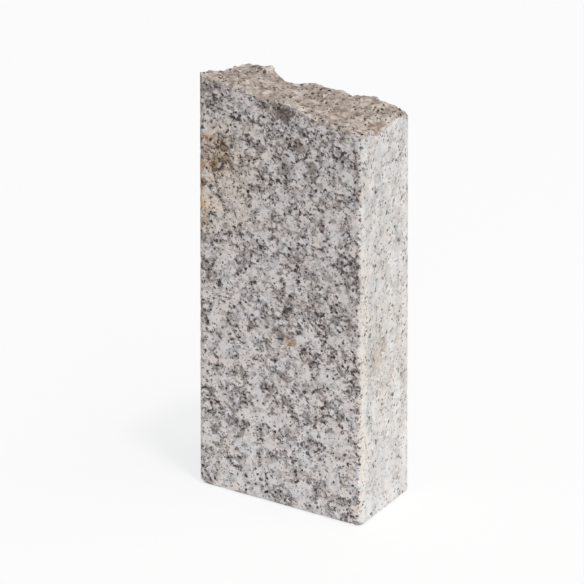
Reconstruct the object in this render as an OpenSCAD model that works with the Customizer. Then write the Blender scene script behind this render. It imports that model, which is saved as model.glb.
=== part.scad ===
// Granite kerb stone: a sawn bar of granite, split to length.
// It stands on its sawn end. The broad face looks towards -Y, a narrow face towards +X,
// and the split end is on top. Millimetres, origin in the middle of the sawn end.

/* [Sawn section] */
// Width of the broad face
width = 100; // [60:1:200]
// Depth of the narrow face
depth = 50; // [30:1:120]
// Radius of the eased arrises
arris = 2.5; // [1:0.1:6]

/* [Split end] */
// Length at the longest corner, front left
length = 244; // [120:1:600]
// Fall of the split along the front face, from left to right
fall_right = 12; // [0:0.5:20]
// Fall of the split along the left edge, from front to back
fall_back_left = 17; // [0:0.5:24]
// Fall of the split along the right edge, from front to back
fall_back_right = 6; // [0:0.5:24]

/* [Fracture relief] */
// Spacing of the fracture facets
facet = 2.5; // [2:0.1:6]
// Span of the broad swells across the split
swell_span = 24; // [12:1:50]
// Height of the broad swells
swell_height = 0.8; // [0:0.1:4]
// Span of the hackle, the sharp ridges between grains
hackle_span = 8; // [4:0.5:15]
// Height of the hackle
hackle_height = 0.7; // [0:0.1:2.5]
// Size of all the flake scars, as a share of the sizes in their list
scar_scale = 1; // [0:0.05:1.4]

/* [Hidden] */
stone_colour = [0.68, 0.66, 0.64];
// Sides of the circle that eases an arris
arris_sides = 48;

// Flake scars on the split: place across the width and the depth, each from -1 to 1,
// then the scar's radius and its depth in millimetres. A scar of negative depth is a knob.
flake_scars = [
    [-0.45,  1.00, 12,  4.0],
    [-0.71,  1.00,  9, -3.0],
    [ 0.62,  0.95, 15, -2.0],
    [ 0.32,  1.00,  7,  1.5],
    [ 0.10, -1.00, 13, -2.5],
    [ 1.00, -0.24,  9,  2.5],
    [ 1.00,  0.50,  9, -1.5],
    [-0.10,  0.20, 16,  2.0],
    [-0.60, -0.30, 13, -1.5],
    [ 0.45, -0.20, 14,  1.5],
];
deepest_scar = max([for (scar = flake_scars) abs(scar[3])]);

// The bar is cut over-long, by more than the relief can rise over the longest corner
cutting_allowance = 10;
spare_length = cutting_allowance + swell_height + hackle_height + scar_scale * deepest_scar;

// The waste reaches past the bar on every side by a little over one facet
margin = 1.25 * facet;
grid_x = ceil((width + 2 * margin) / facet);
grid_y = ceil((depth + 2 * margin) / facet);
// How far a facet's corner strays from its place in the grid, as a share of the spacing
stray = 0.3;

// Steps and gain of the repeatable random numbers
scatter_steps = [127.1, 311.7, 74.7];
scatter_gain = 43758.5453;

// A repeatable random number from -1 to 1 for a lattice point
function scatter(i, j, layer) =
    let (v = scatter_gain * sin([i, j, layer] * scatter_steps))
    2 * (v - floor(v)) - 1;

function ease(t) = t * t * (3 - 2 * t);
function blend(a, b, t) = a + (b - a) * t;

// Smooth random relief of a given span, from -1 to 1
function relief(x, y, span, layer) =
    let (i = floor(x / span), j = floor(y / span))
    let (u = ease(x / span - i), v = ease(y / span - j))
    blend(
        blend(scatter(i, j, layer), scatter(i + 1, j, layer), u),
        blend(scatter(i, j + 1, layer), scatter(i + 1, j + 1, layer), u),
        v
    );

// The same relief folded into sharp ridges, from -1 to 1
function ridges(x, y, span, layer) = 1 - 2 * abs(relief(x, y, span, layer));

// How deep one flake scar is at a point: a shallow dish with a crisp rim
function scar_at(x, y, scar) =
    let (away = [x - scar[0] * width / 2, y - scar[1] * depth / 2])
    let (share = norm(away) / scar[2])
    share < scar_scale ? scar[3] * (scar_scale - share * share / scar_scale) : 0;

function scars_at(x, y, i = 0) =
    i == len(flake_scars) ? 0 : scar_at(x, y, flake_scars[i]) + scars_at(x, y, i + 1);

// Height of the split over a point of the section
function split_height(x, y) =
    let (across = x / width + 0.5, back = y / depth + 0.5)
    length
    - fall_right * across
    - back * blend(fall_back_left, fall_back_right, across)
    + swell_height * relief(x, y, swell_span, 1)
    + hackle_height * ridges(x, y, hackle_span, 2)
    - scars_at(x, y);

// Section of the sawn bar, with its four arrises eased
module eased_rectangle(size_x, size_y) {
    square([size_x - 2 * arris, size_y], center = true);
    square([size_x, size_y - 2 * arris], center = true);
    for (sx = [-1, 1], sy = [-1, 1])
        translate([sx * (size_x / 2 - arris), sy * (size_y / 2 - arris)])
            circle(r = arris, $fn = arris_sides);
}

// The bar as it leaves the saw: three eased prisms in common, over-long at the top
module sawn_bar() {
    stock = length + spare_length;
    intersection() {
        linear_extrude(stock) eased_rectangle(width, depth);
        translate([0, 0, stock / 2]) rotate([90, 0, 0])
            linear_extrude(depth, center = true) eased_rectangle(width, stock);
        translate([0, 0, stock / 2]) rotate([90, 0, 90])
            linear_extrude(width, center = true) eased_rectangle(depth, stock);
    }
}

// What the splitting takes off: everything above the fracture
module split_waste() {
    step = [(width + 2 * margin) / grid_x, (depth + 2 * margin) / grid_y];
    corner = [-width / 2 - margin, -depth / 2 - margin];
    top = length + spare_length + margin;

    // Plan place of a grid point, and its number in the list of points
    function place(i, j) = [
        corner.x + step.x * (i + stray * scatter(i, j, 3)),
        corner.y + step.y * (j + stray * scatter(i, j, 4)),
    ];
    function low(i, j) = i * (grid_y + 1) + j;

    // The grid's outer points in turn, which are repeated at the top of the waste
    rim = [
        for (i = [0 : grid_x - 1]) [i, 0],
        for (j = [0 : grid_y - 1]) [grid_x, j],
        for (i = [grid_x : -1 : 1]) [i, grid_y],
        for (j = [grid_y : -1 : 1]) [0, j],
    ];
    high = (grid_x + 1) * (grid_y + 1);
    middle = high + len(rim);

    points = [
        for (i = [0 : grid_x], j = [0 : grid_y])
            let (p = place(i, j))
            [p.x, p.y, split_height(p.x, p.y)],
        for (r = rim)
            let (p = place(r[0], r[1]))
            [p.x, p.y, top],
        [0, 0, top],
    ];
    fracture = [
        for (i = [0 : grid_x - 1], j = [0 : grid_y - 1])
            let (a = low(i, j), b = low(i + 1, j), c = low(i + 1, j + 1), d = low(i, j + 1))
            each scatter(i, j, 5) > 0 ? [[a, b, c], [a, c, d]] : [[a, b, d], [b, c, d]],
    ];
    walls_and_top = [
        for (k = [0 : len(rim) - 1])
            let (next = (k + 1) % len(rim))
            let (a = low(rim[k][0], rim[k][1]), b = low(rim[next][0], rim[next][1]))
            each [
                [a, high + next, b],
                [a, high + k, high + next],
                [high + k, middle, high + next],
            ],
    ];
    polyhedron(points, concat(fracture, walls_and_top));
}

module kerb_stone() {
    color(stone_colour)
        difference() {
            sawn_bar();
            split_waste();
        }
}

kerb_stone();
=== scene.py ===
import math

import bpy
import numpy as np
from mathutils import Matrix, Vector
from mathutils.bvhtree import BVHTree
from mathutils.geometry import delaunay_2d_cdt


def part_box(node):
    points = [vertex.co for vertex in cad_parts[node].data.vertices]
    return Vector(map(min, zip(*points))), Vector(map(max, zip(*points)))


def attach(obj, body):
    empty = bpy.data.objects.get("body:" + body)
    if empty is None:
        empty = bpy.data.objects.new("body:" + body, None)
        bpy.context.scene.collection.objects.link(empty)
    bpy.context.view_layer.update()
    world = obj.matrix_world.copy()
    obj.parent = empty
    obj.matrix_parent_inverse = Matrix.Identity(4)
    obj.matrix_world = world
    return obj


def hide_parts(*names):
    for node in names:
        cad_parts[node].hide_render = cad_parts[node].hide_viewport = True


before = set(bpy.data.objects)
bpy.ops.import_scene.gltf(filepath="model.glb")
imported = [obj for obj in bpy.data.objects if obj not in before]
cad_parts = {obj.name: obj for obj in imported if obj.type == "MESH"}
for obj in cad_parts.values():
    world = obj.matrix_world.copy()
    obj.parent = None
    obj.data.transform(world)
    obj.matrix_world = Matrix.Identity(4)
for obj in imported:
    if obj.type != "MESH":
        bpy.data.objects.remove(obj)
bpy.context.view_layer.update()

MM = 0.001
RANDOM_SEED = 7

# The photograph's view: a long lens, nearly without perspective
FRAME_PIXELS = 584
VIEW_AZIMUTH = 31.04
VIEW_ELEVATION = 27.33
VIEW_DISTANCE = 13000.0
VIEW_TARGET = np.array([0.0, 0.0, 120.0])
TARGET_PIXEL = (304.0, 285.7)
PIXELS_PER_MM = 1.8915
SENSOR = 36.0

# The sawn bar: the radius of its edges, the share of it that the bottom edge keeps, the points on each arc
_, HIGH_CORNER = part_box("kerb_stone")
HALF_WIDTH, HALF_DEPTH, LENGTH = np.array(HIGH_CORNER) / MM
ARRIS = 2.5
BOTTOM_EASE = 0.9
ARC_POINTS = 17

# The split: how far inside the solid's edge its height is read, and how far round that is softened
EDGE_INSET = 0.8
SOFTENING = 0.9
# The relief of its grains is drawn out from side to side
SPLIT_STRETCH = np.array([0.7, 1.0])
# It lies within this distance of the top
SPLIT_ZONE = 45.0

# Painted shade in the hollows of the split and painted highlight on its ridges: how far round a place counts,
# and in how many directions
HOLLOW_REACH = 4.0
HOLLOW_TAPS = 6

# Spacing of the mesh's points, and how much it grows for each millimetre away from an edge
EDGE_SPACING = 0.55
WALL_SPACING = 0.72
SPLIT_SPACING = 0.77
FACE_SPACING = 8.0
SPACING_GROWTH = 0.3
# Parts that the wall's seam, up the middle of the back, is divided into
SEAM_STEPS = 120

# Shares of the spacing: how far a point strays, and how far it keeps from the wall's outline or an end's ring
STRAY = 0.3
WALL_CLEARANCE = 0.6
END_CLEARANCE = 0.7
# On the wall, a wider spacing than this asks for no more clearance
WIDEST_CLEARED = 1.0

# What the triangulation is asked for: triangles inside the outline, and how near two points count as one
INSIDE_OUTLINE = 1
SAME_POINT = 1e-7
# Edges that turn by more than this are shaded sharp
SHARP_ANGLE = math.radians(50)
# Distance between the parts of the flat map
MAP_GAP = 2.0

# Chips: how many on each arris, round the sawn end and on the rim, and the depth at which one shows clearly
ARRIS_CHIPS = 90
BOTTOM_CHIPS = 120
RIM_CHIPS = 170
CLEAR_CHIP = 0.25
# The arrises are chipped between these heights
ARRIS_CHIP_HEIGHTS = (ARRIS, LENGTH - 5 * ARRIS)
# The higher this power, the more of the chips are small
SMALLNESS = 3
# How far in from both faces the middle of a rounded bottom edge lies
ROUNDING_INSET = 0.3 * ARRIS

random = np.random.default_rng(RANDOM_SEED)


# Smooth random relief

# Numbers that scatter the values at the lattice points; others would do as well
LATTICE_STEPS = np.array([127.1, 311.7, 74.7])
LATTICE_SEED_STEP = 19.19
LATTICE_SCALE = 43758.5453


def lattice_value(cell, seed):
    """A repeatable number from -1 to 1 for each whole-numbered lattice point."""
    steps = LATTICE_STEPS[: cell.shape[1]]
    value = np.sin(cell @ steps + LATTICE_SEED_STEP * seed) * LATTICE_SCALE
    return 2 * (value - np.floor(value)) - 1


def relief(points, span, seed):
    """Smooth random relief of a given span at each point, from -1 to 1."""
    place = points / span
    cell = np.floor(place)
    share = place - cell
    share = share * share * (3 - 2 * share)
    total = np.zeros(len(points))
    for corner in np.ndindex(*(2,) * points.shape[1]):
        corner = np.array(corner)
        weight = np.prod(np.where(corner, share, 1 - share), axis=1)
        total += weight * lattice_value(cell + corner, seed)
    return total


def ridges(points, span, seed):
    """The same relief folded into sharp ridges, from -1 to 1."""
    return 1 - 2 * np.abs(relief(points, span, seed))


# Relief of the grains on the split: kind, height, span and seed
GRAIN_RELIEF = [
    (ridges, 0.38, 4.6, 11),
    (ridges, 0.34, 2.3, 12),
    (relief, 0.28, 1.3, 13),
]


# Shape of the stone

def section_knots():
    """Points round the bar's section, from the middle of its back face, with the outward angle at each."""
    knots = [(0.0, HALF_DEPTH, math.pi / 2)]
    for turn, (side_x, side_y) in enumerate([(-1, 1), (-1, -1), (1, -1), (1, 1)]):
        for angle in np.linspace(turn + 1, turn + 2, ARC_POINTS) * math.pi / 2:
            x = side_x * (HALF_WIDTH - ARRIS) + ARRIS * math.cos(angle)
            y = side_y * (HALF_DEPTH - ARRIS) + ARRIS * math.sin(angle)
            knots.append((x, y, angle))
    knots.append((0.0, HALF_DEPTH, 5 * math.pi / 2))
    return np.array(knots)


KNOTS = section_knots()
KNOT_WAY = np.concatenate([[0], np.cumsum(np.hypot(*np.diff(KNOTS[:, :2], axis=0).T))])
GIRTH = KNOT_WAY[-1]
ARC_MIDDLES = 1 + ARC_POINTS // 2 + ARC_POINTS * np.arange(4)
ARRIS_WAYS = KNOT_WAY[ARC_MIDDLES]
BOTTOM_ARC = ARRIS * math.pi / 2


def section(way):
    """Place and outward normal on the section at a way round it."""
    place = np.stack([np.interp(way, KNOT_WAY, KNOTS[:, axis]) for axis in (0, 1)], axis=1)
    angle = np.interp(way, KNOT_WAY, KNOTS[:, 2])
    return place, np.stack([np.cos(angle), np.sin(angle)], axis=1)


def wall_point(way, rise):
    """Point of the sawn wall at a way round the section and a rise along its profile from the bottom."""
    place, normal = section(way)
    bend = np.clip(rise / ARRIS, 0, math.pi / 2)
    inset = BOTTOM_EASE * ARRIS * (1 - np.sin(bend))
    height = ARRIS * (1 - np.cos(bend)) + np.clip(rise - BOTTOM_ARC, 0, None)
    return np.column_stack([place - inset[:, None] * normal, height])


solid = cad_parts["kerb_stone"]
solid_tree = BVHTree.FromPolygons(
    [vertex.co for vertex in solid.data.vertices],
    [tuple(face.vertices) for face in solid.data.polygons],
)
# Rays that read its height go down from this far up, in metres
RAY_START = 1.0
DOWN = Vector((0, 0, -1))


def solid_height(places):
    """Height of the solid's split end over each place of the section."""
    inside = np.array([HALF_WIDTH - EDGE_INSET, HALF_DEPTH - EDGE_INSET])
    heights = []
    for x, y in np.clip(places, -inside, inside):
        hit = solid_tree.ray_cast(Vector((x * MM, y * MM, RAY_START)), DOWN)[0]
        heights.append(hit.z / MM)
    return np.array(heights)


def split_height(places):
    """Height of the split: the solid's, a little softened, with the relief of the grains on it."""
    taps = [(0, 0), (SOFTENING, 0), (-SOFTENING, 0), (0, SOFTENING), (0, -SOFTENING)]
    height = sum(solid_height(places + np.array(tap)) for tap in taps) / len(taps)
    for kind, amount, span, seed in GRAIN_RELIEF:
        height += amount * kind(places * SPLIT_STRETCH, span, seed)
    return height


def hollow_depth(places):
    """How far the solid's split lies below what is round each place; ridges come out below 0."""
    turns = np.linspace(0, 2 * math.pi, HOLLOW_TAPS, endpoint=False)
    ring = HOLLOW_REACH * np.column_stack([np.cos(turns), np.sin(turns)])
    around = sum(solid_height(places + tap) for tap in ring) / HOLLOW_TAPS
    return around - solid_height(places)


def scattered(size_x, size_y, spacing):
    """Points strewn over a rectangle, as close together as spacing asks."""
    cell = FACE_SPACING
    grid = np.meshgrid(np.arange(cell / 2, size_x, cell), np.arange(cell / 2, size_y, cell))
    x, y = (axis.ravel() for axis in grid)
    found = []
    while len(x):
        wide = cell > spacing(x, y)
        kept = np.column_stack([x[~wide], y[~wide]])
        found.append(kept + cell * random.uniform(-STRAY, STRAY, kept.shape))
        x, y = x[wide], y[wide]
        cell /= 2
        x = np.concatenate([x - cell / 2, x + cell / 2, x - cell / 2, x + cell / 2])
        y = np.concatenate([y - cell / 2, y - cell / 2, y + cell / 2, y + cell / 2])
    return np.concatenate(found)


def triangulated(points, rim_count):
    """Triangles over points, the first rim_count of which are the outline, counter-clockwise."""
    rim = list(range(rim_count))
    vectors = [Vector(point) for point in points]
    result = delaunay_2d_cdt(vectors, [], [rim], INSIDE_OUTLINE, SAME_POINT)
    faces, origins = result[2], result[3]
    source = np.array([origin[0] for origin in origins])
    return source[np.array(faces)]


def rim_line():
    """Ways round the section, and how far up the wall's profile the rim of the split lies at each."""
    way = np.linspace(0, GIRTH, round(GIRTH / EDGE_SPACING) + 1)
    rise = split_height(section(way)[0]) - ARRIS + BOTTOM_ARC
    rise[-1] = rise[0]
    return way, rise


def wall_spacing(way, rise, rim):
    """Spacing of the wall's points: close along the arrises, the rim and the bottom edge."""
    to_arris = np.abs(way[:, None] - ARRIS_WAYS).min(axis=1) - BOTTOM_ARC
    to_rim = np.abs(np.interp(way, *rim) - rise)
    nearest = np.minimum(np.minimum(to_arris, to_rim), rise - BOTTOM_ARC)
    return WALL_SPACING + SPACING_GROWTH * np.clip(nearest, 0, None)


def wall_patch(rim):
    """The wall laid flat: its points as way and rise, those of its outline first, and its triangles.

    The outline runs along the bottom, up the far seam, back along the rim and down the near seam."""
    rim_way, rim_rise = rim
    seam = np.linspace(0, rim_rise[0], SEAM_STEPS + 1)[1:-1]
    bottom = np.column_stack([rim_way, np.zeros_like(rim_way)])
    far_seam = np.column_stack([np.full_like(seam, GIRTH), seam])
    top = np.column_stack([rim_way, rim_rise])[::-1]
    near_seam = np.column_stack([np.zeros_like(seam), seam])[::-1]
    outline = np.concatenate([bottom, far_seam, top, near_seam])

    inner = scattered(GIRTH, rim_rise.max(), lambda way, rise: wall_spacing(way, rise, rim))
    way, rise = inner.T
    to_outline = np.minimum.reduce([way, GIRTH - way, rise, np.interp(way, *rim) - rise])
    clearance = WALL_CLEARANCE * np.clip(wall_spacing(way, rise, rim), EDGE_SPACING, WIDEST_CLEARED)
    points = np.concatenate([outline, inner[to_outline > clearance]])
    return points, triangulated(points, len(outline))


def seam_and_rings(row, count):
    """The point that each of count wall points stands for, and the rings of the bottom and of the rim.

    A row is the number of points along the bottom; the far seam's points stand for the near seam's."""
    rim_start = row + SEAM_STEPS - 1
    rim_end = rim_start + row - 1
    outline_end = rim_end + SEAM_STEPS - 1
    same = np.arange(count)
    same[row - 1: rim_start + 1] = np.append(0, np.arange(outline_end, rim_end - 1, -1))
    return same, np.arange(row - 1), np.arange(rim_end, rim_start, -1)


def end_patch(ring, spacing, margin):
    """The points of an end, those of its ring first, and triangles over them."""
    half = np.array([HALF_WIDTH, HALF_DEPTH])
    inner = scattered(*(2 * half), lambda x, y: np.full(len(x), spacing)) - half
    past_corner = np.clip(np.abs(inner) - (half - ARRIS), 0, None)
    in_corner = np.linalg.norm(past_corner, axis=1) < ARRIS - END_CLEARANCE * EDGE_SPACING
    inner = inner[(np.abs(inner) < half - margin).all(axis=1) & in_corner]
    points = np.concatenate([ring, inner])
    return points, triangulated(points, len(ring))


def flat_map(wall, split, sawn, wall_top):
    """Corners of the triangles on a map from 0 to 1: the wall as laid out, and both ends above it.

    The sawn end is turned over, because it faces down."""
    base = wall_top + MAP_GAP
    split = split + (HALF_WIDTH + MAP_GAP, base + HALF_DEPTH)
    sawn = sawn * (-1, 1) + (3 * HALF_WIDTH + 2 * MAP_GAP, base + HALF_DEPTH)
    size = max(GIRTH, base + 2 * HALF_DEPTH + MAP_GAP)
    return np.concatenate([wall, split, sawn]).reshape(-1, 2) / size


def stone_mesh():
    """Points, triangles, flat map and mask of the split, of the whole stone."""
    rim = rim_line()
    wall, wall_faces = wall_patch(rim)
    wall_points = wall_point(*wall.T)
    same, bottom_ring, rim_ring = seam_and_rings(len(rim[0]), len(wall))
    split, split_faces = end_patch(wall_points[rim_ring, :2], SPLIT_SPACING, END_CLEARANCE * EDGE_SPACING)
    sawn_margin = END_CLEARANCE * FACE_SPACING + ARRIS
    sawn, sawn_faces = end_patch(wall_points[bottom_ring, :2], FACE_SPACING, sawn_margin)
    sawn_faces = sawn_faces[:, ::-1]

    split_inner = split[len(rim_ring):]
    sawn_inner = sawn[len(bottom_ring):]
    points = np.concatenate([
        wall_points,
        np.column_stack([split_inner, split_height(split_inner)]),
        np.column_stack([sawn_inner, np.zeros(len(sawn_inner))]),
    ])
    split_start = len(wall_points)
    sawn_start = split_start + len(split_inner)
    split_index = np.append(rim_ring, np.arange(split_start, sawn_start))
    sawn_index = np.append(bottom_ring, np.arange(sawn_start, len(points)))
    faces = np.concatenate([same[wall_faces], split_index[split_faces], sawn_index[sawn_faces]])
    on_split = np.repeat([0, 1, 0], [len(wall_faces), len(split_faces), len(sawn_faces)])
    flat = flat_map(wall[wall_faces], split[split_faces], sawn[sawn_faces], rim[1].max())

    used, new_index = np.unique(faces, return_inverse=True)
    return points[used], new_index.reshape(faces.shape), flat, on_split


# Chips and wear

def balls(places, outward, sizes, radius, depth):
    """Centres and radii of balls that bite into places from outside; radius and depth go with their sizes."""
    outward = outward / np.linalg.norm(outward, axis=1, keepdims=True)
    radii = np.interp(sizes, (0, 1), radius)
    depths = np.interp(sizes, (0, 1), depth)
    return places + outward * (radii - depths)[:, None], radii


def chip_sizes(count):
    """Random sizes from 0 to 1, most of them small."""
    return random.random(count) ** SMALLNESS


def bottom_edge(ways, lean):
    """Places on the rounded edge of the sawn end at ways round the section, and outward directions there."""
    place, normal = section(ways)
    edge = np.column_stack([place - ROUNDING_INSET * normal, np.full(len(place), ROUNDING_INSET)])
    return edge, np.column_stack([normal, np.full(len(place), lean)])


def arris_balls():
    """Balls that bite small chips out of the four long arrises."""
    ways = np.repeat(ARRIS_WAYS, ARRIS_CHIPS)
    place, normal = section(ways)
    height = random.uniform(*ARRIS_CHIP_HEIGHTS, len(ways))
    lean = random.uniform(-0.3, 0.3, len(ways))
    arris = np.column_stack([place, height])
    outward = np.column_stack([normal, lean])
    return balls(arris, outward, chip_sizes(len(ways)), radius=(0.8, 4.0), depth=(0.12, 0.67))


def bottom_balls():
    """Balls that bite small chips out of the edges of the sawn end."""
    edge, outward = bottom_edge(random.uniform(0, GIRTH, BOTTOM_CHIPS), lean=-1.0)
    return balls(edge, outward, chip_sizes(BOTTOM_CHIPS), radius=(0.8, 3.8), depth=(0.12, 0.62))


def corner_balls():
    """Balls that wear down the four corners of the sawn end."""
    corner, outward = bottom_edge(ARRIS_WAYS, lean=-0.8)
    return balls(corner, outward, random.random(len(corner)), radius=(6.0, 9.0), depth=(0.4, 0.9))


def rim_balls():
    """Balls that bite flakes out of the rim of the split."""
    place, normal = section(random.uniform(0, GIRTH, RIM_CHIPS))
    lean = random.uniform(0.3, 1.0, RIM_CHIPS)
    rim = np.column_stack([place, split_height(place)])
    outward = np.column_stack([normal, lean])
    return balls(rim, outward, chip_sizes(RIM_CHIPS), radius=(0.9, 7.0), depth=(0.15, 1.3))


def carve(points, centres, radii):
    """Press points that lie in any of the balls out to its surface, and say how far each was pressed."""
    depth = np.zeros(len(points))
    for centre, radius in zip(centres, radii):
        near = np.flatnonzero(np.abs(points[:, 2] - centre[2]) < radius)
        offset = points[near] - centre
        distance = np.linalg.norm(offset, axis=1)
        within = distance < radius
        near, offset, distance = near[within], offset[within], distance[within]
        points[near] = centre + offset * (radius / distance)[:, None]
        depth[near] += radius - distance
    return depth


# The stone as an object

def placed(name, data):
    """A new object in the scene."""
    thing = bpy.data.objects.new(name, data)
    bpy.context.scene.collection.objects.link(thing)
    return thing


def put_values(mesh, name, domain, values):
    """Give the mesh a named value on each of its points or faces, for the material to read."""
    attribute = mesh.attributes.new(name, "FLOAT", domain)
    attribute.data.foreach_set("value", values.astype(np.float32))


def split_values(points):
    """How hollow the split is at each point, which sets its painted shade and highlight, and how far the
    point lies below its rim.
    """
    near = points[:, 2] > LENGTH - SPLIT_ZONE
    hollow_painted_light = np.zeros(len(points))
    hollow_painted_light[near] = hollow_depth(points[near, :2])
    below_rim = np.full(len(points), SPLIT_ZONE)
    below_rim[near] = solid_height(points[near, :2]) - points[near, 2]
    return hollow_painted_light, below_rim


def make_stone():
    """The stone's mesh with its chips and worn corners, and the values that its material reads."""
    points, faces, flat, on_split = stone_mesh()
    carve(points, *corner_balls())
    chip_depth = carve(points, *arris_balls()) + carve(points, *bottom_balls())
    flake_depth = carve(points, *rim_balls())
    hollow_painted_light, below_rim = split_values(points)

    mesh = bpy.data.meshes.new("granite_kerb_stone")
    mesh.from_pydata((points * MM).tolist(), [], faces.tolist())
    mesh.polygons.foreach_set("use_smooth", np.ones(len(faces), dtype=bool))
    flat_layer = mesh.uv_layers.new(name="OFBake")
    flat_layer.data.foreach_set("uv", flat.ravel().astype(np.float32))
    put_values(mesh, "split", "FACE", on_split)
    put_values(mesh, "chipped", "POINT", np.clip(chip_depth / CLEAR_CHIP, 0, 1))
    put_values(mesh, "flaked", "POINT", np.clip(flake_depth / CLEAR_CHIP, 0, 1))
    put_values(mesh, "hollow_painted_light", "POINT", hollow_painted_light)
    put_values(mesh, "below_rim", "POINT", below_rim)
    mesh.set_sharp_from_angle(angle=SHARP_ANGLE)
    mesh.validate()
    return placed("granite_kerb_stone", mesh)


# Node graphs

# How far apart in the endless pattern two seeds lie
PATTERN_STEP = (31.7, -17.3, 23.9)
# The middle of a random colour
MIDDLE = (0.5, 0.5, 0.5)
# Spots: how far their borders stray, and how much of them is full, as shares of their reach
SPOT_STRAY = 1.4
SPOT_CORE = 0.4


class Graph:
    """Short ways to add shader nodes; a socket or a plain value goes in, a socket comes out."""

    def __init__(self, tree):
        self.tree = tree
        tree.nodes.clear()

    def put(self, socket, value):
        """Link a socket to an input, or set the input to a plain value."""
        if isinstance(value, bpy.types.NodeSocket):
            self.tree.links.new(value, socket)
        else:
            socket.default_value = value

    def add(self, kind, inputs=(), **settings):
        """A new node with its settings and inputs, which are named or numbered."""
        node = self.tree.nodes.new(kind)
        for name, value in settings.items():
            setattr(node, name, value)
        for name, value in dict(inputs).items():
            self.put(node.inputs[name], value)
        return node

    def math(self, operation, *values, clamp=False):
        """The result of one operation on numbers."""
        node = self.add("ShaderNodeMath", dict(enumerate(values)), operation=operation, use_clamp=clamp)
        return node.outputs[0]

    def vector(self, operation, first, second):
        """The result of one operation on two vectors, or on a vector and a scale."""
        other = "Scale" if operation == "SCALE" else 1
        return self.add("ShaderNodeVectorMath", {0: first, other: second}, operation=operation).outputs[0]

    def length(self, place):
        return self.add("ShaderNodeVectorMath", {0: place}, operation="LENGTH").outputs["Value"]

    def step(self, value, start, end, low=0.0, high=1.0):
        """Value eased from low to high as it goes from start to end."""
        return self.ramp(value, start, end, low, high, interpolation_type="SMOOTHSTEP")

    def ramp(self, value, start, end, low, high, **settings):
        """Value carried over in a straight line, held at both ends."""
        node = self.add("ShaderNodeMapRange", **settings, inputs={
            "Value": value, "From Min": start, "From Max": end, "To Min": low, "To Max": high})
        return node.outputs["Result"]

    def mix(self, share, first, second):
        """Colour from first to second as share goes from 0 to 1."""
        return self.add("ShaderNodeMix", {0: share, 6: first, 7: second}, data_type="RGBA").outputs[2]

    def total(self, *terms, base=0.0):
        """Sum of base and each value times its weight."""
        result = base
        for value, weight in terms:
            result = self.math("MULTIPLY_ADD", value, weight, result)
        return result

    def stretched(self, place, factors):
        """The place scaled along each axis; a factor below 1 draws a pattern out."""
        return self.vector("MULTIPLY", place, factors)

    def moved(self, place, seed):
        """The same place in another part of the endless pattern."""
        return self.vector("ADD", place, tuple(step * seed for step in PATTERN_STEP))

    def turned(self, place, axis, angle):
        """The place turned about an axis through the origin."""
        node = self.add("ShaderNodeVectorRotate", {"Vector": place, "Axis": axis, "Angle": angle})
        return node.outputs[0]

    def axis(self, place, name):
        return self.add("ShaderNodeSeparateXYZ", {"Vector": place}).outputs[name]

    def attribute(self, name):
        return self.add("ShaderNodeAttribute", attribute_name=name).outputs["Fac"]

    def noise_node(self, place, size, seed, detail=2.0, roughness=0.5):
        return self.add("ShaderNodeTexNoise", {
            "Vector": self.moved(place, seed), "Scale": 1 / size, "Detail": detail, "Roughness": roughness})

    def noise(self, place, size, seed, **fineness):
        """Smooth random value from 0 to 1, with features of a given size."""
        return self.noise_node(place, size, seed, **fineness).outputs["Fac"]

    def shaken(self, place, size, seed, amount):
        """The place shifted at random by a share of amount, to bend straight borders."""
        shift = self.vector("SUBTRACT", self.noise_node(place, size, seed).outputs["Color"], MIDDLE)
        return self.vector("ADD", place, self.vector("SCALE", shift, amount))

    def spot(self, place, centre, reach, ragged):
        """1 in the middle of a ragged spot, 0 beyond its reach along each axis."""
        away = self.length(self.vector("DIVIDE", self.vector("SUBTRACT", place, centre), reach))
        away = self.total((ragged, SPOT_STRAY), (away, 1.0), base=-SPOT_STRAY / 2)
        return self.step(away, SPOT_CORE, 1.0, 1.0, 0.0)

    def cells(self, place, size, seed):
        """Two random values, each the same all over one grain, and the distance from its middle in sizes."""
        node = self.add("ShaderNodeTexVoronoi", {"Vector": self.moved(place, seed), "Scale": 1 / size})
        random_values = self.add("ShaderNodeSeparateColor", {"Color": node.outputs["Color"]})
        return random_values.outputs[0], random_values.outputs[1], node.outputs["Distance"]

    def edges(self, place, size, seed):
        """Distance to the border of the same grains, in the units of place."""
        node = self.add("ShaderNodeTexVoronoi", feature="DISTANCE_TO_EDGE",
                        inputs={"Vector": self.moved(place, seed), "Scale": 1 / size})
        return self.math("MULTIPLY", node.outputs["Distance"], size)


def new_material(name):
    """A new material and the graph of its nodes."""
    material = bpy.data.materials.new(name)
    material.use_nodes = True
    return material, Graph(material.node_tree)


def srgb(red, green, blue):
    """Linear colour of a screen colour given from 0 to 255, by the curve of the sRGB standard."""
    def linear(value):
        value /= 255
        return value / 12.92 if value <= 0.04045 else ((value + 0.055) / 1.055) ** 2.4
    return (linear(red), linear(green), linear(blue), 1.0)


# Granite

# Minerals and finishes
PALE_FELDSPAR = srgb(233, 227, 226)
PINK_FELDSPAR = srgb(231, 222, 218)
GREY_FELDSPAR = srgb(214, 210, 211)
GROUND_LIGHT = srgb(182, 174, 171)
GROUND_DARK = srgb(127, 117, 115)
QUARTZ = srgb(146, 138, 132)
SMOKY_QUARTZ = srgb(121, 110, 106)
BIOTITE = srgb(42, 32, 30)
SAW_BLOOM = srgb(217, 215, 213)
SAW_BLOOM_DARK = srgb(196, 194, 191)
WEATHERED_PINK = srgb(195, 178, 167)
WEATHERED_OLIVE = srgb(191, 179, 163)
# The split's dark tan, which also stands as the painted shade in its hollows
WEATHERED_DARK_AND_SHADE = srgb(119, 98, 79)
WEATHERED_MICA = srgb(32, 22, 14)
# Cream of crushed grains and worn edges, which also stands as the painted highlight on the split's ridges
CREAM_AND_HIGHLIGHT = srgb(225, 216, 207)
ORANGE = srgb(216, 162, 116)
PEACH = srgb(240, 228, 217)
BROWN = srgb(168, 144, 112)
OLIVE = srgb(170, 160, 108)

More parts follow.
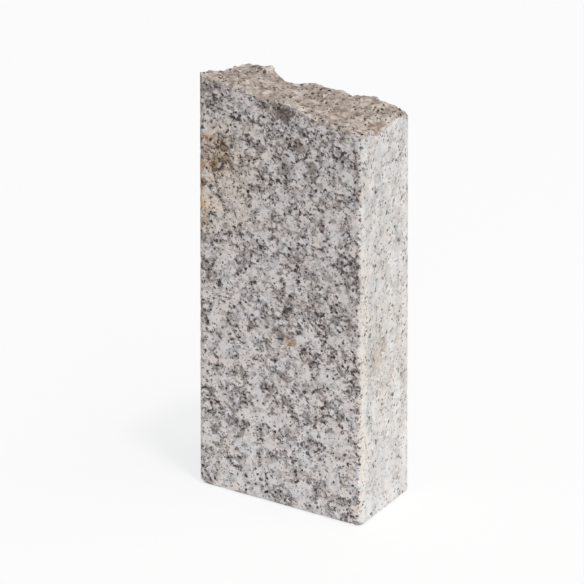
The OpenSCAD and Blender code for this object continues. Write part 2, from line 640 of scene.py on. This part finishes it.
# Tints, which a colour is multiplied by
NO_TINT = (1.0, 1.0, 1.0, 1.0)
COOL_TINT = (0.96, 0.985, 1.0, 1.0)
WARM_TINT = (1.0, 0.975, 0.955, 1.0)
RUST_VEIL = (0.99, 0.96, 0.91, 1.0)
RUST_BROWN = (0.94, 0.87, 0.78, 1.0)
RUST_YELLOW = (1.0, 0.94, 0.85, 1.0)
DARK_RUST = (0.52, 0.46, 0.38, 1.0)
SMOKE = (0.50, 0.44, 0.43, 1.0)
SMUDGE = (0.80, 0.77, 0.73, 1.0)
COOL_FOOT = (0.967, 0.987, 1.0, 1.0)
WARM_SIDE = (1.0, 0.983, 0.966, 1.0)

# Sizes of the grains, and how their pattern is turned away from the stone's faces
GRAIN = 5.0
CRYSTAL = 2.4
SMALL_GRAIN = 1.3
GRAIN_SEED = 2
ASKEW_AXIS = (0.36, 0.48, 0.80)
ASKEW_ANGLE = math.radians(50)

# Dark mica on the sawn faces: size and seed, share of the grains, more where the mica gathers,
# fewer in pale grains, and the part of the share that is left on the narrow faces
FLECKS = [
    (1.8, 22, 0.04, 0.14, -0.05, 0.45),
    (1.2, 8, 0.08, 0.14, -0.06, 0.60),
    (0.8, 9, 0.11, 0.12, -0.06, 0.60),
]

# Dark mica on the split: size and seed, share of the grains
SPLIT_FLECKS = [
    (1.5, 31, 0.05),
    (1.0, 32, 0.09),
]

# Patterns that are drawn out: the saw's streaks upwards, those of the split from front to back
STREAK_STRETCH = (1.0, 1.0, 0.2)
FLECK_STRETCH = (1.0, 0.7, 1.0)
PATCH_STRETCH = (1.0, 0.6, 1.0)

# Shares of one colour laid over another
BLOOM_SHARE = 0.67
ROCK_IN_SPLIT = 0.30
CREAM_IN_CHIPS = 0.25

# How far in from the narrow faces their bloom begins, and where it is full
BLOOM_START = 1.6
BLOOM_FULL = 0.1

# Heights of the fine relief: the saw leaves its faces nearly even, the split is crumbly
GRIT = 0.10
CRUMBLE = 1.3

# The gloss of all minerals
SPECULAR = 0.3

# Patches of another colour: colour, strength, centre and reach along each axis
FRONT = -HALF_DEPTH
STAINS = [
    (PINK_FELDSPAR, 0.40, (-26.0, FRONT, 180.0), (13.0, 5.0, 14.0)),
    (PINK_FELDSPAR, 0.40, (-41.0, FRONT, 154.0), (8.0, 5.0, 10.0)),
    (BROWN, 0.60, (-40.7, FRONT, 192.4), (3.4, 3.0, 4.5)),
    (PEACH, 0.80, (-43.0, FRONT, 168.0), (9.0, 5.0, 8.0)),
    (ORANGE, 0.60, (-49.0, FRONT, 190.0), (3.4, 3.0, 4.5)),
    (OLIVE, 0.50, (-49.0, FRONT, 182.0), (3.4, 3.0, 4.5)),
    (ORANGE, 0.60, (-50.0, FRONT, 176.5), (3.0, 3.0, 5.0)),
    (ORANGE, 0.70, (-48.5, FRONT, 168.0), (3.4, 3.0, 4.0)),
    (ORANGE, 0.60, (-50.0, FRONT, 153.0), (3.0, 3.0, 5.0)),
    (ORANGE, 0.45, (-43.8, FRONT, 207.6), (3.0, 3.0, 2.6)),
    (ORANGE, 0.85, (5.8, FRONT, 98.8), (2.5, 2.0, 2.3)),
    (OLIVE, 0.85, (8.0, FRONT, 98.8), (2.6, 2.0, 2.7)),
    (BIOTITE, 0.60, (1.9, FRONT, 100.6), (1.7, 2.0, 2.6)),
    (BIOTITE, 0.60, (7.4, FRONT, 104.5), (3.2, 2.0, 1.6)),
    (BIOTITE, 0.75, (11.8, FRONT, 106.4), (2.2, 2.0, 2.0)),
    (SMOKY_QUARTZ, 0.45, (-1.0, FRONT, 104.1), (5.5, 3.0, 5.0)),
    (SMOKY_QUARTZ, 0.50, (2.9, FRONT, 233.1), (8.0, 4.0, 7.0)),
    (SMOKY_QUARTZ, 0.75, (11.5, FRONT, 215.8), (5.0, 4.0, 5.0)),
    (QUARTZ, 0.85, (20.0, FRONT, 206.0), (5.0, 4.0, 4.2)),
]

# Thin stains and broad tints that the grain shows through: tint, centre and reach along each axis
TINTS = [
    (RUST_VEIL, (-32.0, FRONT, 188.0), (30.0, 8.0, 45.0)),
    (RUST_BROWN, (-40.0, FRONT, 199.0), (15.0, 8.0, 22.0)),
    (RUST_YELLOW, (-49.0, FRONT, 165.0), (9.0, 8.0, 26.0)),
    (DARK_RUST, (-48.5, FRONT, 207.0), (2.4, 4.0, 3.0)),
    (DARK_RUST, (-34.7, FRONT, 203.7), (4.0, 4.0, 3.4)),
    (DARK_RUST, (-33.0, FRONT, 198.0), (4.5, 4.0, 4.5)),
    (DARK_RUST, (-40.7, FRONT, 190.0), (3.0, 4.0, 5.0)),
    (DARK_RUST, (-47.0, FRONT, 180.0), (2.6, 4.0, 4.5)),
    (SMOKE, (2.9, FRONT, 233.1), (9.0, 6.0, 7.0)),
    (SMUDGE, (HALF_WIDTH, -9.0, 96.0), (6.0, 10.0, 22.0)),
    (WARM_SIDE, (HALF_WIDTH, 0.0, 105.0), (12.0, 45.0, 75.0)),
    (COOL_FOOT, (0.0, 0.0, 0.0), (100.0, 60.0, 60.0)),
]


def mica_crowd(g, place, bent):
    """How the mica gathers: between the grains, in patches, more towards the split, less towards the foot."""
    between = g.step(g.edges(bent, GRAIN, GRAIN_SEED), 0.2, 1.3, 1.0, 0.0)
    patch = g.step(g.noise(bent, size=10.0, seed=6, detail=3), 0.36, 0.64)
    height = g.axis(place, "Z")
    near_split = g.ramp(height, 180.0, 240.0, 0.0, 0.3)
    near_foot = g.ramp(height, 0.0, 70.0, -0.12, 0.0)
    patch = g.math("ADD", patch, g.math("ADD", near_split, near_foot), clamp=True)
    return g.total((g.math("MULTIPLY", between, patch), 0.8), (patch, 0.15))


def grains(g, place):
    """The rock without mica: its colour and paleness, how the mica gathers, and a value for each grain."""
    bent = g.turned(g.shaken(place, size=1.6, seed=1, amount=1.8), ASKEW_AXIS, ASKEW_ANGLE)
    grain_pick, grain_tint, _ = g.cells(bent, GRAIN, GRAIN_SEED)
    crystal_pick, crystal_tint, _ = g.cells(bent, CRYSTAL, seed=3)
    small_pick, small_tint, _ = g.cells(bent, SMALL_GRAIN, seed=4)
    cloud = g.noise(bent, size=2.0, seed=5, detail=3, roughness=0.6)
    crowd = mica_crowd(g, place, bent)

    # Pale feldspars lie in a grey ground, which is darker where the mica gathers
    paleness = g.total(
        (grain_pick, 0.30),
        (crystal_pick, 0.28),
        (small_pick, 0.22),
        (cloud, 0.5),
        (crowd, -0.33),
    )
    pale = g.step(paleness, 0.16, 0.80)
    feldspar = g.mix(g.step(grain_tint, 0.5, 0.9), PALE_FELDSPAR, PINK_FELDSPAR)
    feldspar = g.mix(g.step(crystal_tint, 0.6, 1.0, 0.0, 0.6), feldspar, GREY_FELDSPAR)
    ground = g.mix(g.total((small_tint, 0.8), (crowd, -0.3), (cloud, 0.4)), GROUND_DARK, GROUND_LIGHT)
    colour = g.mix(pale, ground, feldspar)
    glassy = g.step(g.noise(bent, size=6.0, seed=7, detail=1), 0.66, 0.70, 0.0, 0.75)
    return g.mix(glassy, colour, QUARTZ), pale, crowd, small_pick


def narrow_faces(g, place):
    """1 on the two narrow faces, 0 elsewhere."""
    from_middle = g.math("ABSOLUTE", g.axis(place, "X"))
    return g.step(from_middle, HALF_WIDTH - BLOOM_START, HALF_WIDTH - BLOOM_FULL)


def with_bloom(g, place, narrow, colour):
    """The saw's pale bloom on the narrow faces, with faint upright streaks."""
    streaks = g.noise(g.stretched(place, STREAK_STRETCH), size=6.0, seed=12, detail=4)
    bloom = g.mix(g.step(streaks, 0.35, 0.65), SAW_BLOOM_DARK, SAW_BLOOM)
    return g.mix(g.math("MULTIPLY", narrow, BLOOM_SHARE), colour, bloom)


def with_cream_edge(g, place, narrow, colour):
    """A wavy cream edge of the narrow faces along the front, stronger towards the foot."""
    edge = g.total((g.noise(place, size=7.0, seed=13, detail=3), 9.0), base=-HALF_DEPTH)
    worn = g.step(g.math("SUBTRACT", g.axis(place, "Y"), edge), -1.5, 1.5, 1.0, 0.0)
    worn = g.math("MULTIPLY", worn, narrow)
    worn = g.math("MULTIPLY", worn, g.ramp(g.axis(place, "Z"), 20.0, 150.0, 0.65, 0.25))
    return g.mix(worn, colour, CREAM_AND_HIGHLIGHT)


def with_hues(g, place, colour):
    """A slow change of hue over the stone, from cool to warm."""
    hue = g.step(g.noise(place, size=9.0, seed=11), 0.3, 0.7)
    return g.vector("MULTIPLY", colour, g.mix(hue, COOL_TINT, WARM_TINT))


def stain_borders(g, place):
    """What makes the borders of the stains ragged."""
    return g.noise(place, size=3.0, seed=20, detail=4)


def with_stains(g, place, colour):
    """The patches of another colour."""
    ragged = stain_borders(g, place)
    for stain_colour, strength, centre, reach in STAINS:
        mask = g.math("MULTIPLY", g.spot(place, centre, reach, ragged), strength)
        colour = g.mix(mask, colour, stain_colour)
    return colour


def with_tints(g, place, grain, colour):
    """The thin stains and broad tints, whose borders follow the grains."""
    ragged = g.total((stain_borders(g, place), 0.5), (grain, 0.5))
    for tint, centre, reach in TINTS:
        mask = g.spot(place, centre, reach, ragged)
        colour = g.vector("MULTIPLY", colour, g.mix(mask, NO_TINT, tint))
    return colour


def fleck_layer(g, place, size, seed, share):
    """Strength of the dark flecks of one size, which fill a given share of the places for them."""
    pick, tone, away = g.cells(place, size, seed)
    chosen = g.math("GREATER_THAN", g.math("ADD", pick, share), 1.0)
    trimmed = g.math("MULTIPLY", chosen, g.step(away, 0.55, 0.80, 1.0, 0.0))
    return g.math("MULTIPLY", trimmed, g.ramp(tone, 0, 1, 0.6, 1.0))


def ragged_flecks(g, place):
    """The place shaken, so that the outlines of the flecks are ragged."""
    return g.shaken(place, size=0.7, seed=21, amount=0.9)


def sawn_flecks(g, place, pale, crowd, narrow):
    """Mica on the sawn faces: crowded between the grains, sparse in pale grains and on the narrow faces."""
    ragged = ragged_flecks(g, place)
    flecks = 0.0
    for size, seed, share, gathered, in_pale, left in FLECKS:
        share = g.total((crowd, gathered), (pale, in_pale), base=share)
        share = g.math("MULTIPLY", share, g.ramp(narrow, 0, 1, 1.0, left))
        flecks = g.math("MAXIMUM", flecks, fleck_layer(g, ragged, size, seed, share))
    showing = g.step(g.noise(place, size=4.0, seed=18, detail=3), 0.38, 0.62, 0.35, 1.0)
    return g.math("MULTIPLY", flecks, g.ramp(narrow, 0, 1, 1.0, showing))


def split_flecks(g, place):
    """Mica on the split, a little drawn out from front to back."""
    ragged = ragged_flecks(g, g.stretched(place, FLECK_STRETCH))
    flecks = 0.0
    for size, seed, share in SPLIT_FLECKS:
        flecks = g.math("MAXIMUM", flecks, fleck_layer(g, ragged, size, seed, share))
    return flecks


def from_outline(g, place):
    """Distance in from the outline of the section."""
    from_side = g.math("SUBTRACT", HALF_WIDTH, g.math("ABSOLUTE", g.axis(place, "X")))
    from_front = g.math("SUBTRACT", HALF_DEPTH, g.math("ABSOLUTE", g.axis(place, "Y")))
    return g.math("MINIMUM", from_side, from_front)


def weathered(g, place, rock):
    """The split's colour: a patchy tan with painted shade in its hollows and painted highlight on its ridges,
    crushed pale along the rim.
    """
    patches = g.noise(g.stretched(place, PATCH_STRETCH), size=3.5, seed=10, detail=5, roughness=0.65)
    pinkness = g.step(g.noise(place, size=8.0, seed=17), 0.35, 0.65)
    light = g.mix(pinkness, WEATHERED_OLIVE, WEATHERED_PINK)
    tan = g.mix(g.step(patches, 0.36, 0.64), WEATHERED_DARK_AND_SHADE, light)
    tan = g.mix(ROCK_IN_SPLIT, tan, rock)
    # Painted shade darkens the hollows of the split, and painted highlight lightens its ridges
    hollow_painted_light = g.attribute("hollow_painted_light")
    tan = g.mix(g.step(hollow_painted_light, 0.0, 1.2, 0.0, 0.6), tan, WEATHERED_DARK_AND_SHADE)
    tan = g.mix(g.step(hollow_painted_light, -1.2, 0.0, 0.5, 0.0), tan, CREAM_AND_HIGHLIGHT)
    reach = g.total((g.noise(place, size=5.0, seed=14, detail=3), 13.0), base=-5.0)
    crushed = g.math("SUBTRACT", reach, from_outline(g, place))
    return g.mix(g.step(crushed, 0.0, 2.5, 0.0, 0.5), tan, CREAM_AND_HIGHLIGHT)


def crushed_rim(g, place):
    """A ragged band of the sawn faces just below the split, where the grains are crushed."""
    reach = g.total((g.noise(place, size=4.0, seed=19, detail=4, roughness=0.6), 14.0), base=-5.6)
    return g.step(g.math("SUBTRACT", reach, g.attribute("below_rim")), -0.8, 1.4, 0.0, 0.8)


def broken_places(g, place):
    """1 on the split and in the flakes out of its rim, less in the crushed band below it, 0 elsewhere."""
    flaked = g.step(g.attribute("flaked"), 0.1, 0.6)
    return g.math("MAXIMUM", g.attribute("split"), g.math("MAXIMUM", flaked, crushed_rim(g, place)))


def fine_relief(g, place, broken):
    """The normal of the surface with its finest relief, whose height is in metres."""
    grit = g.math("MULTIPLY", g.noise(place, size=0.7, seed=15, detail=3, roughness=0.6), GRIT * MM)
    crumble = g.math("MULTIPLY", g.noise(place, size=2.0, seed=16, detail=4, roughness=0.6), CRUMBLE * MM)
    height = g.ramp(broken, 0, 1, grit, crumble)
    return g.add("ShaderNodeBump", {"Height": height, "Distance": 1.0, "Strength": 1.0}).outputs["Normal"]


def granite():
    """Speckled granite: paler on the narrow faces, weathered to a tan where it is broken."""
    material, g = new_material("granite")
    here = g.add("ShaderNodeTexCoord").outputs["Object"]
    place = g.vector("SCALE", here, 1 / MM)
    narrow = narrow_faces(g, place)
    broken = broken_places(g, place)
    rock, pale, crowd, grain = grains(g, place)
    flecks = sawn_flecks(g, place, pale, crowd, narrow)

    sawn = with_bloom(g, place, narrow, rock)
    sawn = with_cream_edge(g, place, narrow, sawn)
    sawn = with_hues(g, place, sawn)
    sawn = with_stains(g, place, sawn)
    sawn = g.mix(g.math("MULTIPLY", g.attribute("chipped"), CREAM_IN_CHIPS), sawn, CREAM_AND_HIGHLIGHT)
    sawn = with_tints(g, place, grain, g.mix(flecks, sawn, BIOTITE))
    split = g.mix(split_flecks(g, place), weathered(g, place, rock), WEATHERED_MICA)

    shader = g.add("ShaderNodeBsdfPrincipled", {
        "Base Color": g.mix(broken, sawn, split),
        "Roughness": g.total((flecks, -0.2), (pale, 0.1), (broken, 0.1), base=0.7),
        "Specular IOR Level": SPECULAR,
        "Normal": fine_relief(g, place, broken)})
    g.add("ShaderNodeOutputMaterial", {"Surface": shader.outputs[0]})
    return material


# Stage, with its lengths in metres

BACKGROUND = srgb(250, 250, 250)
WHITE = (1.0, 1.0, 1.0, 1.0)
WORLD_LIGHT = 0.41
# The studio is brighter on the stone's right: how much, to which side and over what spread of its cosine
SIDE_LIGHT = 1.48
SIDE_DIRECTION = (0.98, -0.1, 0.17)
SIDE_SPREAD = (0.2, 1.0)
FLOOR_HALF = 3.0
# What the floor gives back to the stone, near it and far off, and where it changes
FLOOR_NEAR = 0.9
FLOOR_FAR = 0.35
FLOOR_FADE = (0.2, 0.7)
# What the camera sees of the floor: an even glow, and a share of the light on it, which is warmer than the
# glow, so that the shadow is cool
FLOOR_GLOW = 0.768
FLOOR_GLOW_COLOUR = (0.970, 0.982, 1.0, 1.0)
FLOOR_SHADOW_SHARE = (0.230, 0.220, 0.205, 1.0)


def background_rays(g):
    """1 where a ray comes from the camera, a mirror or glass."""
    rays = g.add("ShaderNodeLightPath").outputs
    seen = g.math("ADD", rays["Is Camera Ray"], rays["Is Glossy Ray"], clamp=True)
    return g.math("ADD", seen, rays["Is Transmission Ray"], clamp=True)


def pale_floor():
    """A plain floor for the light, and an even pale one with the stone's shadow for the camera."""
    material, g = new_material("pale_floor")
    away = g.length(g.add("ShaderNodeTexCoord").outputs["Object"])
    plain = g.add("ShaderNodeBsdfDiffuse", {"Color": g.step(away, *FLOOR_FADE, FLOOR_NEAR, FLOOR_FAR)})
    thin = g.add("ShaderNodeBsdfDiffuse", {"Color": FLOOR_SHADOW_SHARE})
    glow = g.add("ShaderNodeEmission", {"Color": FLOOR_GLOW_COLOUR, "Strength": FLOOR_GLOW})
    seen = g.add("ShaderNodeAddShader", {0: glow.outputs[0], 1: thin.outputs[0]})
    both = g.add("ShaderNodeMixShader", {0: background_rays(g), 1: plain.outputs[0], 2: seen.outputs[0]})
    g.add("ShaderNodeOutputMaterial", {"Surface": both.outputs[0]})
    return material


def make_floor():
    """A square floor, wide enough to fill the view."""
    corners = [(x * FLOOR_HALF, y * FLOOR_HALF, 0) for x, y in [(-1, -1), (1, -1), (1, 1), (-1, 1)]]
    mesh = bpy.data.meshes.new("floor")
    mesh.from_pydata(corners, [], [(0, 1, 2, 3)])
    mesh.materials.append(pale_floor())
    placed("floor", mesh)


def make_world():
    """Soft light from all round, more of it from one side, and a plain background."""
    world = bpy.data.worlds.new("studio")
    bpy.context.scene.world = world
    world.use_nodes = True
    g = Graph(world.node_tree)
    sky = g.add("ShaderNodeTexCoord").outputs["Generated"]
    cosine = g.add("ShaderNodeVectorMath", {0: sky, 1: SIDE_DIRECTION}, operation="DOT_PRODUCT")
    side = g.step(cosine.outputs["Value"], *SIDE_SPREAD)
    strength = g.total((side, SIDE_LIGHT), base=WORLD_LIGHT)
    light = g.add("ShaderNodeBackground", {"Color": WHITE, "Strength": strength})
    backdrop = g.add("ShaderNodeBackground", {"Color": BACKGROUND, "Strength": 1.0})
    both = g.add("ShaderNodeMixShader", {0: background_rays(g), 1: light.outputs[0], 2: backdrop.outputs[0]})
    g.add("ShaderNodeOutputWorld", {"Surface": both.outputs[0]})


def direction(azimuth, elevation):
    """Unit vector towards an azimuth, from the front to the right, and an elevation, both in degrees."""
    azimuth, elevation = math.radians(azimuth), math.radians(elevation)
    level = math.cos(elevation)
    return np.array([math.sin(azimuth) * level, -math.cos(azimuth) * level, math.sin(elevation)])


def make_lamp(name, azimuth, elevation, distance, size, power):
    """A round lamp that shines on the middle of the stone."""
    lamp = bpy.data.lights.new(name, "AREA")
    lamp.shape = "DISK"
    lamp.size = size
    lamp.energy = power
    way = Vector(direction(azimuth, elevation))
    turn = way.to_track_quat("Z", "Y").to_matrix().to_4x4()
    placed(name, lamp).matrix_world = Matrix.Translation(Vector(VIEW_TARGET * MM) + way * distance) @ turn


def make_camera():
    """The photograph's camera: without roll, and moved across its view until the target is at its pixel."""
    back = direction(VIEW_AZIMUTH, VIEW_ELEVATION)
    right = direction(VIEW_AZIMUTH + 90, 0)
    up = np.cross(back, right)
    middle = FRAME_PIXELS / 2
    position = VIEW_TARGET + back * VIEW_DISTANCE
    position = position - right * (TARGET_PIXEL[0] - middle) / PIXELS_PER_MM
    position = position - up * (middle - TARGET_PIXEL[1]) / PIXELS_PER_MM
    data = bpy.data.cameras.new("camera")
    data.sensor_width = SENSOR
    data.lens = SENSOR * PIXELS_PER_MM * VIEW_DISTANCE / FRAME_PIXELS
    camera = placed("camera", data)
    turn = Matrix((right, up, back)).transposed().to_4x4()
    camera.matrix_world = Matrix.Translation(position * MM) @ turn
    bpy.context.scene.camera = camera


make_camera()
make_world()
make_floor()
make_lamp("overhead", azimuth=60, elevation=76, distance=2.0, size=0.2, power=13.5)

stone = make_stone()
stone.data.materials.append(granite())
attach(stone, "root")
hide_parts("kerb_stone")

bpy.context.scene.view_settings.view_transform = "Standard"
